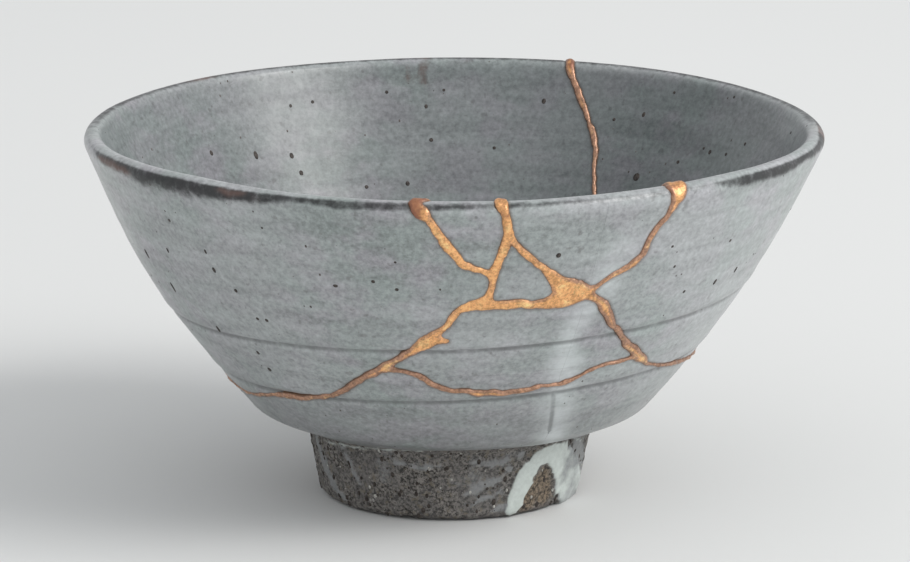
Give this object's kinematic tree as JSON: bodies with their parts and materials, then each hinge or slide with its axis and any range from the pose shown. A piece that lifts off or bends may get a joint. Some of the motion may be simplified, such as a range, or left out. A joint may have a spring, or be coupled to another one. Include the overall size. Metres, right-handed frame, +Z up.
{
  "type": "kintsugi tea bowl",
  "caption": "Flared stoneware tea bowl on a turned foot, broken and joined again with raised gold lacquer seams, for tea or display.",
  "frame": {"origin": "on the ground, in the middle of the bowl's outline seen from above", "axes": "+Z up, the way the bowl stands; -Y is the front, where most seams meet; +X to the right seen from the front"},
  "size_m": [0.1499, 0.1501, 0.0764],
  "materials": {
    "glaze": "satin",
    "gold": "satin"
  },
  "bodies": {
    "root": {"base_sherd": "glaze", "left_wall_sherd": "glaze", "right_wall_sherd": "glaze", "small_rim_sherd": "glaze", "wide_rim_sherd": "glaze", "triangle_sherd": "glaze", "lower_front_sherd": "glaze", "gold_seams": "gold"}
  },
  "joints": []
}
